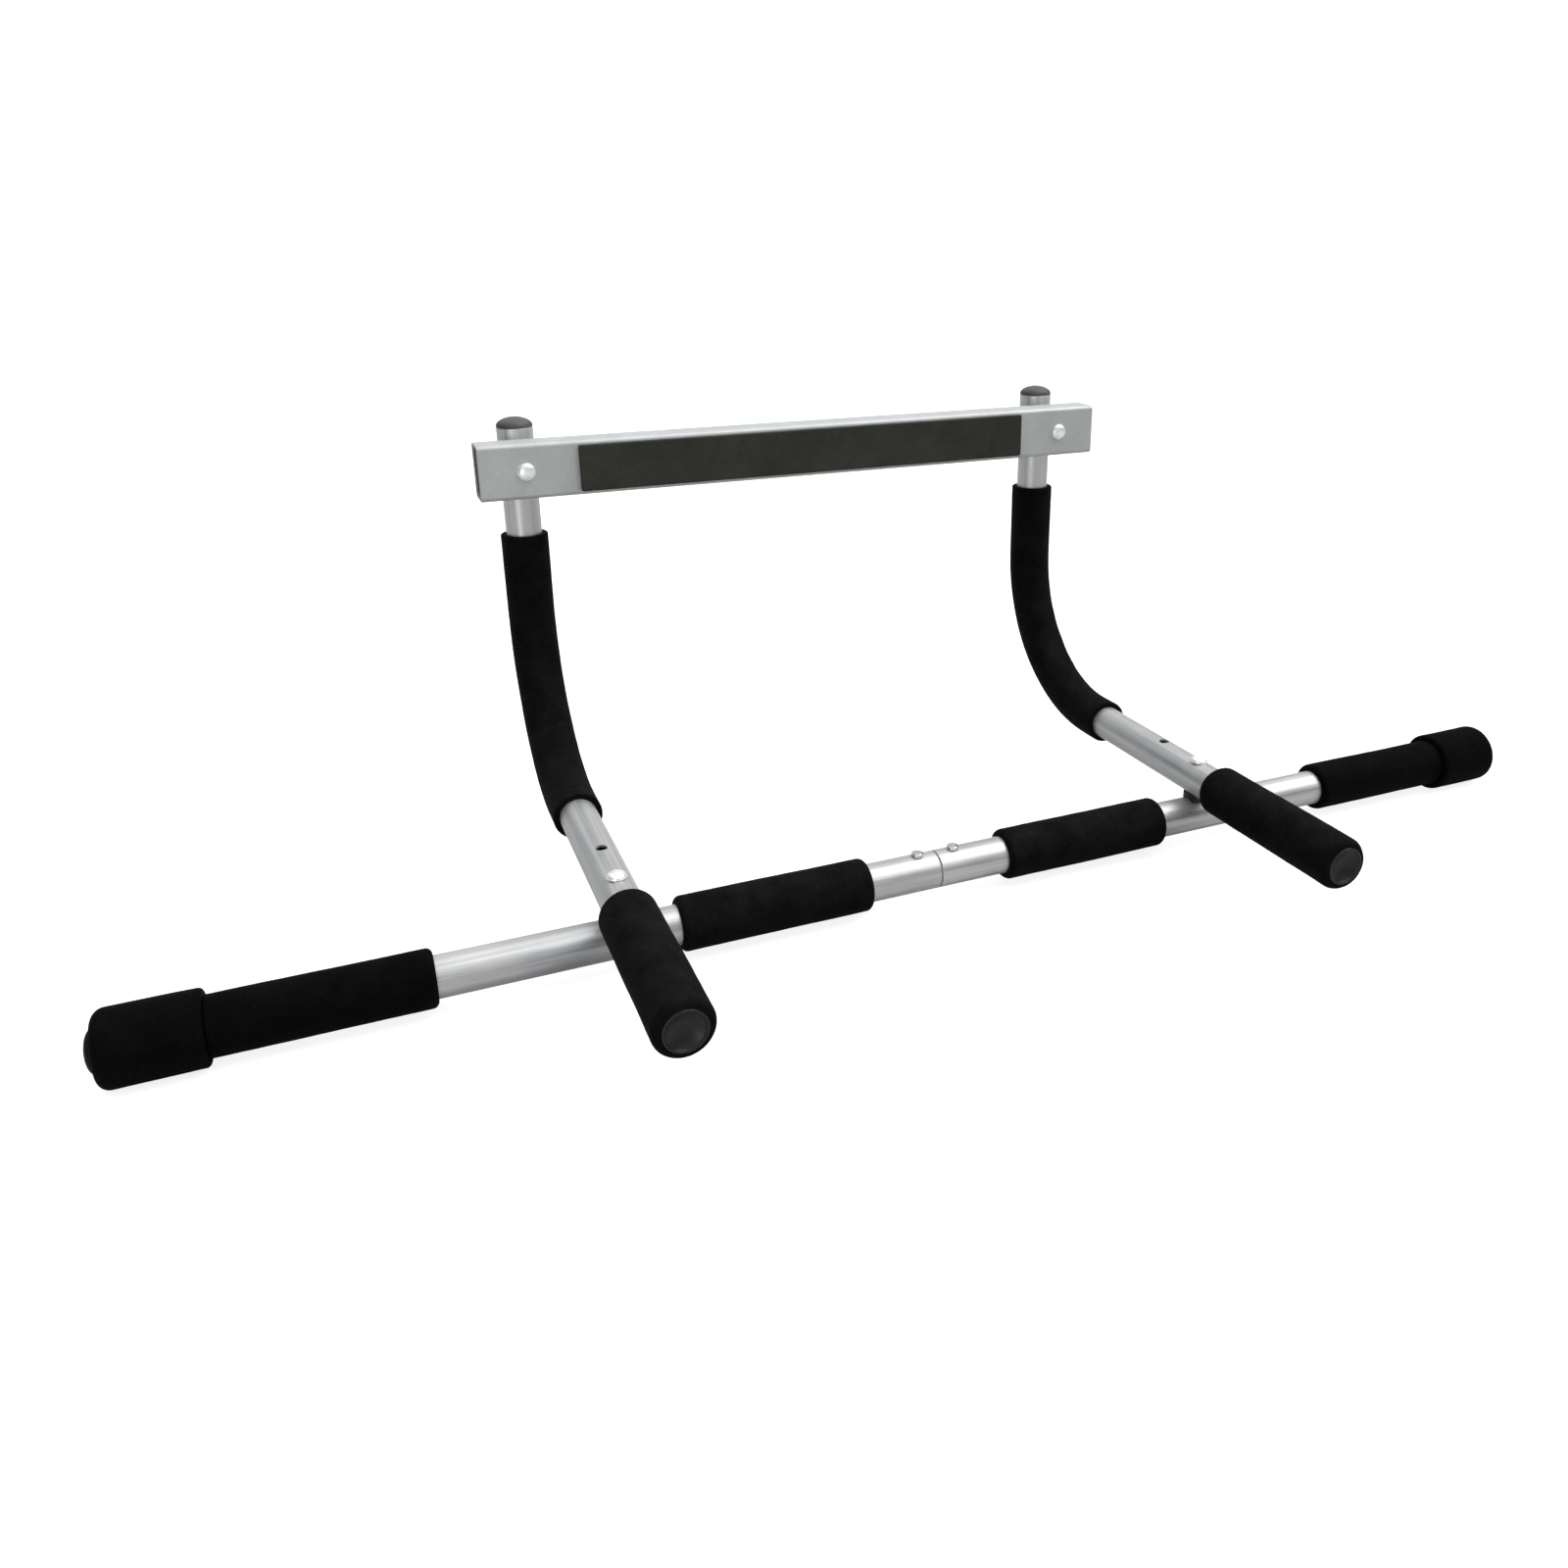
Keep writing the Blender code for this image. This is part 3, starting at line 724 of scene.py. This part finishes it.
def bar_tube(side_name, path, look):
    node = side_name + "_bar_tube"
    tube = turned(node + "_shown", path, tube_profile(*reach_out(node)), TUBE_POINTS)
    axis = bar_axis()
    holes = []
    for radius, fixing in ((HOLE_RADIUS, "_crossing_bolt"), (CENTRE_HOLE_RADIUS, "_centre_screw")):
        top = (middle(side_name + fixing).x, axis.y, axis.z + TUBE_RADIUS)
        holes.append((radius, top, Z, ONE_WALL))
    drill(tube, path, holes)
    present(tube, node, look)


def bar_foams(side_name, side, path, looks):
    # Corner radii at both ends, the look, and how far each end is pressed past the CAD's
    press = 0.13 * MM
    foams = {
        "_inner_foam_grip": ((3.8 * MM, 3.8 * MM), "foam", 0, 0),
        # The outer grip and the door bumper take the bumper look: the black foam darkened as painted
        # shade
        "_outer_foam_grip": ((3.8 * MM, 0.9 * MM), "bumper", 0, press),
        "_door_bumper_foam": ((2.6 * MM, 6.2 * MM), "bumper", press, 0),
    }
    for seed, (suffix, (corners, look, before, after)) in enumerate(foams.items()):
        node = side_name + suffix
        start, end = reach_out(node)
        radius = half_height(node) - FOAM_SKIN
        profile = foam_profile(radius, start - before, end + after, corners)
        present_foam(node, path, profile, foam_swell(seed + side * 5, 0.28 * MM), looks[look])


def bar_end_plug(side_name, side, look):
    node = side_name + "_bar_end_plug"
    axis = bar_axis()
    tube_end = reach_out(side_name + "_bar_tube")[1]
    rim, collar = 12.2 * MM, 1.5 * MM
    bulge = reach_out(node)[1] - tube_end - collar
    profile = plug_stem()
    profile += [(rim - 0.3 * MM, PLUG_GAP), (rim, 0.4 * MM), (rim, collar - 0.2 * MM)]
    profile += dome(rim - 0.35 * MM, collar, bulge, DOME_STEPS)
    mouth = Line((side * tube_end, axis.y, axis.z), X * side, Z)
    present(turned(node + "_shown", mouth, profile, PLUG_POINTS), node, look)


def side_frame(side_name, side, looks):
    path = frame_path(side_name)
    frame_tube(side_name, path, looks["tube"])
    bend_sleeve(side_name, side, path, looks["foam"])
    handle_grip(side_name, side, path, looks["foam"])
    handle_plug(side_name, path, looks["plastic"])
    upright_cap(side_name, path, looks["cap"])


def frame_tube(side_name, path, look):
    node = side_name + "_frame_tube"
    steps = 40
    bend = [path.straight + path.arc * i / steps for i in range(steps + 1)]
    profile = tube_profile(*along_frame(node, path), bend)
    tube = turned(node + "_shown", path, profile, TUBE_POINTS)
    bolt_y = middle(side_name + "_crossing_bolt").y
    safety_z = middle(side_name + "_safety_bolt").z
    adjust_y = bolt_y + ADJUST_HOLE_AHEAD
    holes = [
        (HOLE_RADIUS, (path.x, bolt_y, path.run_z), Z, RIGHT_THROUGH),
        (ADJUST_HOLE_RADIUS, (path.x, adjust_y, path.run_z), Z, RIGHT_THROUGH),
        (HOLE_RADIUS, (path.x, path.upright_y, safety_z), Y, RIGHT_THROUGH),
    ]
    drill(tube, path, holes)
    present(tube, node, look)


def bend_sleeve(side_name, side, path, look):
    node = side_name + "_bend_foam_sleeve"
    radius = half_width(node)
    depth, spacing, corner = 0.16 * MM, 4.1 * MM, 1.1 * MM

    def creases(across, up, along):
        """Shallow folds where the foam is squeezed inside the bend."""
        turn = (along - path.straight) / path.arc
        inside = max(0.0, up / radius) * max(0.0, math.sin(math.pi * min(max(turn, 0), 1)))
        wave = math.sin(along / spacing + 1.5 * noise.noise(Vector((along * 40, side, 0))))
        return -depth * inside * (1 + wave)

    ends = along_frame(node, path)
    profile = foam_profile(radius - FOAM_SKIN, *ends, (corner, corner), step=1.6 * MM)
    present_foam(node, path, profile, foam_swell(11 + side, 0.26 * MM, creases), look)


def handle_grip(side_name, side, path, look):
    node = side_name + "_handle_foam_grip"
    corner = 5.2 * MM
    ends = [end.y - path.bar_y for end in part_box(node)]
    profile = foam_profile(half_width(node) - FOAM_SKIN, *ends, (corner, corner))
    present_foam(node, path, profile, foam_swell(21 + side, 0.28 * MM), look)


def handle_plug(side_name, path, look):
    """The plug in a handle's end, with a rounded lip round a bowl."""
    node = side_name + "_handle_end_plug"
    tube_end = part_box(side_name + "_frame_tube")[0].y
    lip = tube_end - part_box(node)[0].y
    rim, lip_radius, lip_arc = TUBE_RADIUS - 0.1 * MM, 0.7 * MM, (15, 165, 10)
    bowl, brim, depth, steps = rim - 1.5 * MM, lip - 0.8 * MM, 4.2 * MM, 20
    profile = plug_stem() + [(rim, PLUG_GAP), (rim, brim)]
    profile += [p[:2] for p in arc((rim - lip_radius, lip - lip_radius), lip_radius, *lip_arc)]
    for i in range(steps + 1):
        part = 1 - i / steps
        profile.append((bowl * part, brim - depth * (1 - part * part)))
    mouth = Line((path.x, tube_end, path.run_z), -Y, Z)
    present(turned(node + "_shown", mouth, profile, DISH_POINTS), node, look)


def upright_cap(side_name, path, look):
    node = side_name + "_upright_cap"
    tube_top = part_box(side_name + "_frame_tube")[1].z
    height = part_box(node)[1].z - tube_top
    rim, skirt = TUBE_RADIUS, 0.9 * MM
    profile = plug_stem() + [(rim - 0.3 * MM, PLUG_GAP), (rim, 0.35 * MM), (rim, skirt)]
    profile += dome(rim, skirt, height - skirt, DOME_STEPS, power=1.1)
    mouth = Line((path.x, path.upright_y, tube_top), Z, Y)
    present(turned(node + "_shown", mouth, profile, DISH_POINTS), node, look)


def fixings(side_name, looks):
    path = frame_path(side_name)
    on_frame = Vector((path.x, bar_axis().y, path.run_z + TUBE_RADIUS))
    on_safety_bar = Vector((path.x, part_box("safety_bar_tube")[0].y, middle("safety_bar_tube").z))
    bolt_set(side_name + "_crossing", Z, on_frame, looks["zinc"])
    bolt_set(side_name + "_safety", -Y, on_safety_bar, looks["zinc"])
    centre_screw(side_name, looks["screw"])
    saddle(side_name, path, looks["plastic"])


def bolt_set(name, outwards, under_head, look):
    """A bolt, its washer and its nut. outwards is the way that the bolt's head faces."""
    node = name + "_bolt"
    heights = [(corner - under_head).dot(outwards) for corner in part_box(node)]
    head = under_head + outwards * (0.05 * MM)
    piece = bolt(node + "_shown", head, outwards, -min(heights), max(heights))
    present(piece, node, look)
    for part, shape in (("_washer", washer), ("_nut", hex_nut)):
        node = name + part
        far, near = sorted(corner.dot(outwards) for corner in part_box(node))
        at = under_head - outwards * (under_head.dot(outwards) - near)
        present(shape(node + "_shown", at, -outwards, near - far), node, look)


def centre_screw(side_name, look):
    node = side_name + "_centre_screw"
    low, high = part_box(node)
    axis = bar_axis()
    top = Vector((middle(node).x, axis.y, axis.z + TUBE_RADIUS))
    tip = low.z - top.z
    turns, swell = thread(SCREW_RADIUS, tip + 0.6 * MM, -1.2 * MM, SCREW_PITCH)
    profile = [(0, tip), (SCREW_RADIUS - 0.6 * MM, tip)] + turns
    profile += [(SCREW_RADIUS, -0.8 * MM), (SCREW_RADIUS, -0.1 * MM)]
    profile += pan_head(SCREW_HEAD_RADIUS, high.z - top.z)
    piece = turned(node + "_shown", Line(top, Z, Y), profile, BOLT_POINTS, swell)
    present(piece, node, look)


def saddle(side_name, path, look):
    """The spacer between the two round tubes, with a soft edge and a seat for each tube."""
    node = side_name + "_saddle_spacer"
    low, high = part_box(node)
    size = high - low
    edge, rise, corner = 0.5 * MM, 0.6 * MM, 2.4 * MM
    sections = []
    for height, inset in ((0, edge), (rise, 0), (size.z - rise, 0), (size.z, edge)):
        outline = rounded_section(size.x - 2 * inset, size.y - 2 * inset, corner)
        sections.append([(u, v, height) for u, v in outline])
    centre = (low + high) / 2
    block = lofted(node + "_shown", sections, Matrix.Translation((centre.x, centre.y, low.z)))
    axis = bar_axis()
    seat, seat_length = TUBE_RADIUS + 0.05 * MM, 80 * MM
    seats = [
        cutter(seat, (path.x, axis.y, axis.z), X, seat_length),
        cutter(seat, (path.x, axis.y, path.run_z), Y, seat_length),
        cutter(HOLE_RADIUS, (path.x, axis.y, (axis.z + path.run_z) / 2), Z, RIGHT_THROUGH),
    ]
    mesh = cut_away(block, seats)
    mesh.set_sharp_from_angle(angle=math.radians(30))
    present(block, node, look)


def safety_bar(looks):
    safety_tube(looks["paint"])
    for side_name, side in SIDES.items():
        safety_plug(side_name, side, looks["plastic"])
    safety_pad(looks["pad"])


def safety_tube(look):
    node = "safety_bar_tube"
    low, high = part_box(node)
    size, centre = high - low, (low + high) / 2
    wall, corner, edge = 1.5 * MM, 3.2 * MM, 0.25 * MM
    half = size.x / 2

    def ring(x, inset, corner):
        outline = rounded_section(size.y - 2 * inset, size.z - 2 * inset, corner, 8)
        return [(x, u, v) for u, v in outline]

    outside = ((-half, edge), (-half + edge, 0), (half - edge, 0), (half, edge))
    rings = [ring(x, inset, corner) for x, inset in outside]
    rings += [ring(x, wall, corner - wall) for x in (half, -half)]
    bar = lofted(node + "_shown", rings, Matrix.Translation(centre), closed=True)
    bolts = [middle(side_name + "_safety_bolt") for side_name in SIDES]
    holes = [cutter(HOLE_RADIUS, (at.x, centre.y, at.z), Y, RIGHT_THROUGH) for at in bolts]
    mesh = cut_away(bar, holes)
    even_normals(bar)
    mesh.set_sharp_from_angle(angle=math.radians(40))
    present(bar, node, look)


def safety_plug(side_name, side, look):
    """A pressed-in end cover with a dished face. Each section is a level and an inset in mm."""
    node = side_name + "_safety_bar_plug"
    low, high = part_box(node)
    centre = middle("safety_bar_tube")
    depth, width, height = high.x - low.x, high.y - low.y, high.z - low.z
    face_x = high.x if side > 0 else low.x
    fit = 0.5 * MM
    steps = [(-depth / MM, 1.0), (-depth / MM + 0.8, 0.0), (-0.5, 0.0), (-0.15, 0.15)]
    steps += [(0.0, 0.5), (0.0, 2.2), (-0.5, 2.8), (-0.6, 5.5)]
    sections = []
    for level, inset in steps:
        around = max(1.4 - inset * 0.3, 0.4) * MM
        trim = fit - 2 * inset * MM
        outline = rounded_section(width + trim, height + trim, around)
        sections.append([(side * level * MM, u, v) for u, v in outline])
    at = Matrix.Translation((face_x, centre.y, centre.z))
    present(lofted(node + "_shown", sections, at), node, look)


def safety_pad(look):
    """The flat pad. Each section is a share of its depth and an inset in mm."""
    node = "safety_bar_pad"
    low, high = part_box(node)
    size = high - low
    steps = ((0, 0.15), (0.2, 0), (0.78, 0), (0.88, 0.1), (0.95, 0.3), (0.988, 0.6), (1.0, 1.05))
    sections = []
    for share, inset in steps:
        trim = 2 * inset * MM
        outline = pad_outline(size.x - trim, size.z - trim, 1.4 * MM)
        sections.append([(u, -size.y * share, v) for u, v in outline])
    back_y = high.y + 0.25 * MM
    at = Matrix.Translation(((low.x + high.x) / 2, back_y, (low.z + high.z) / 2))
    pad = lofted(node + "_shown", sections, at)
    present(pad, node, look)


def pad_outline(width, height, corner):
    """A rounded rectangle whose long sides waver slightly, as if cut by hand."""
    waver, steps_along = 0.12 * MM, 60
    points = rounded_section(width, height, corner)
    outline = []
    for start, end in zip(points, points[1:] + points[:1]):
        steps = steps_along if abs(end[0] - start[0]) > width / 2 else 1
        for i in range(steps):
            u = start[0] + (end[0] - start[0]) * i / steps
            v = start[1] + (end[1] - start[1]) * i / steps
            shift = waver * noise.noise(Vector((u * 30, math.copysign(4, v), 0)))
            outline.append((u, v + math.copysign(shift, v)))
    return outline


def connector(look):
    """The sleeve inside the long bar's seam."""
    node = "centre_connector_sleeve"
    low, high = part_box(node)
    axis = bar_axis()
    path = Line((low.x, axis.y, axis.z), X, Z)
    length = high.x - low.x
    outer, inner, edge = 10.75 * MM, 9.2 * MM, 0.3 * MM
    profile = [(inner, edge), (inner + edge, 0), (outer - edge, 0), (outer, edge)]
    profile += [(outer, length - edge), (outer - edge, length), (inner + edge, length)]
    profile += [(inner, length - edge)]
    sleeve = turned(node + "_shown", path, profile, PLUG_POINTS)
    screws = [middle(side_name + "_centre_screw").x for side_name in SIDES]
    top = axis.z + outer
    drill(sleeve, path, [(CENTRE_HOLE_RADIUS, (x, axis.y, top), Z, ONE_WALL) for x in screws])
    present(sleeve, node, look)


def build(looks):
    for side_name, side in SIDES.items():
        long_bar(side_name, side, looks)
        side_frame(side_name, side, looks)
        fixings(side_name, looks)
    safety_bar(looks)
    connector(looks["zinc"])


# ---------------------------------------------------------------- stage


def make_camera():
    data = bpy.data.cameras.new("camera")
    data.sensor_width = 36
    data.lens = LENS
    data.shift_x, data.shift_y = SHIFT
    data.clip_start, data.clip_end = 0.02, 60
    camera = new_object("camera", data)
    camera.location = CAMERA_PLACE
    camera.rotation_euler = [math.radians(angle) for angle in CAMERA_TURN]
    bpy.context.scene.camera = camera


def make_world():
    """A soft white studio: brightest overhead, dimmer behind the camera and at both sides."""
    world = bpy.data.worlds.new("studio")
    world.use_nodes = True
    bpy.context.scene.world = world
    nodes, links = world.node_tree.nodes, world.node_tree.links
    background = nodes["Background"]
    background.inputs["Color"].default_value = (0.965, 0.982, 0.99, 1)
    way = nodes.new("ShaderNodeSeparateXYZ")
    links.new(nodes.new("ShaderNodeTexCoord").outputs["Generated"], way.inputs[0])

    def ramp(axis, start, end, low, high):
        made = nodes.new("ShaderNodeMapRange")
        made.interpolation_type = "SMOOTHSTEP"
        links.new(way.outputs[axis], made.inputs[0])
        for i, number in enumerate((start, end, low, high), 1):
            made.inputs[i].default_value = number
        return made.outputs[0]

    def combine(operation, first, second):
        made = nodes.new("ShaderNodeMath")
        made.operation = operation
        links.new(first, made.inputs[0])
        links.new(second, made.inputs[1])
        return made.outputs[0]

    depth = ramp("Y", -0.9, 0.6, FRONT_LIGHT, BACK_LIGHT)
    height = ramp("Z", 0.25, 0.95, 0.0, TOP_LIGHT)
    left = ramp("X", -0.9, -0.2, LEFT_LIGHT, 1.0)
    right = ramp("X", 0.5, 0.92, 1.0, RIGHT_LIGHT)
    strength = combine("MULTIPLY", combine("ADD", depth, height), combine("MULTIPLY", left, right))
    links.new(strength, background.inputs["Strength"])


def make_sun():
    sun = bpy.data.lights.new("overhead", "SUN")
    sun.energy = SUN_STRENGTH
    sun.color = (1.0, 0.975, 0.935)
    sun.angle = math.radians(SUN_ANGLE)
    overhead = new_object("overhead", sun)
    overhead.rotation_euler = Vector(SUN_FROM).to_track_quat("Z", "Y").to_euler()


def make_strip():
    """A tall, narrow light in front on the left, for a soft reflected line down the uprights."""
    strip = bpy.data.lights.new("strip", "AREA")
    strip.shape = "RECTANGLE"
    strip.size, strip.size_y = STRIP_SIZE
    strip.energy = STRIP_POWER
    beside = new_object("strip", strip)
    beside.location = STRIP_AT
    aim = Vector((-0.2, 0, 0))
    toward = Vector((STRIP_AT[0], STRIP_AT[1], 0)) - aim
    beside.rotation_euler = toward.to_track_quat("Z", "Y").to_euler()
    beside.visible_camera = False
    beside.visible_diffuse = False


def stage_sheet(name, points, faces, albedo, glow):
    mesh = bpy.data.meshes.new(name)
    mesh.from_pydata(points, [], faces)
    plain = Look(name, Roughness=0.9, Specular_IOR_Level=0.1, Emission_Strength=glow)
    plain.shader.inputs["Emission Color"].default_value = (1, 1, 1, 1)
    fine = plain.noise(plain.place(), scale=4, detail=3, roughness=0.55)
    plain.use(Base_Color=plain.ramp(fine, grey(albedo), grey(albedo * 1.02)))
    mesh.materials.append(plain.material)
    return new_object(name, mesh)


def only_seen_by(ray_seen, piece):
    """Shows a stage object to one kind of ray."""
    for ray in ("camera", "diffuse", "glossy", "transmission", "volume_scatter", "shadow"):
        setattr(piece, "visible_" + ray, ray == ray_seen)


def make_floors(floor_z):
    """A white floor for the camera, and dimmer floors under it for reflections and light."""
    floors = {
        "floor": ("camera", FLOOR_ALBEDO, FLOOR_GLOW),
        "glossy_floor": ("glossy", GLOSSY_BOUNCE, 0),
        "diffuse_floor": ("diffuse", SOFT_BOUNCE, 0),
    }
    r = FLOOR_REACH
    for depth, (name, (ray, albedo, glow)) in enumerate(floors.items()):
        z = floor_z - depth * MM
        corners = [(-r, -r, z), (r, -r, z), (r, r, z), (-r, r, z)]
        only_seen_by(ray, stage_sheet(name, corners, [(0, 1, 2, 3)], albedo, glow))


def make_surround(floor_z):
    """A white wall all round, which only the camera sees."""
    count = SURROUND_POINTS
    angles = [math.tau * i / count for i in range(count)]
    points = []
    for height in (floor_z - 0.5, SURROUND_TOP):
        points += [(FLOOR_REACH * math.cos(a), FLOOR_REACH * math.sin(a), height) for a in angles]
    faces = ring_faces(2, count, closed=False)
    only_seen_by("camera", stage_sheet("surround", points, faces, 0.0, SURROUND_GLOW))


def corner_lists(bounds):
    return [list(corner) for corner in bounds]


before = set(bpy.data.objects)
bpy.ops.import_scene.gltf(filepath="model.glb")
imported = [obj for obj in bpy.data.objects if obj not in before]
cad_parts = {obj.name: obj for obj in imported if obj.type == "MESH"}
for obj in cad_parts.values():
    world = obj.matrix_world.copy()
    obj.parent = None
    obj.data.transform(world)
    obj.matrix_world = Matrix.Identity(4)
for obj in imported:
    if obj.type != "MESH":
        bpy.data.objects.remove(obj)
cad_box = corner_lists(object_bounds())
build(make_looks())
make_camera()
make_floors(cad_box[0][2])
make_surround(cad_box[0][2])
make_world()
make_sun()
make_strip()
bpy.context.scene.view_settings.view_transform = "Standard"
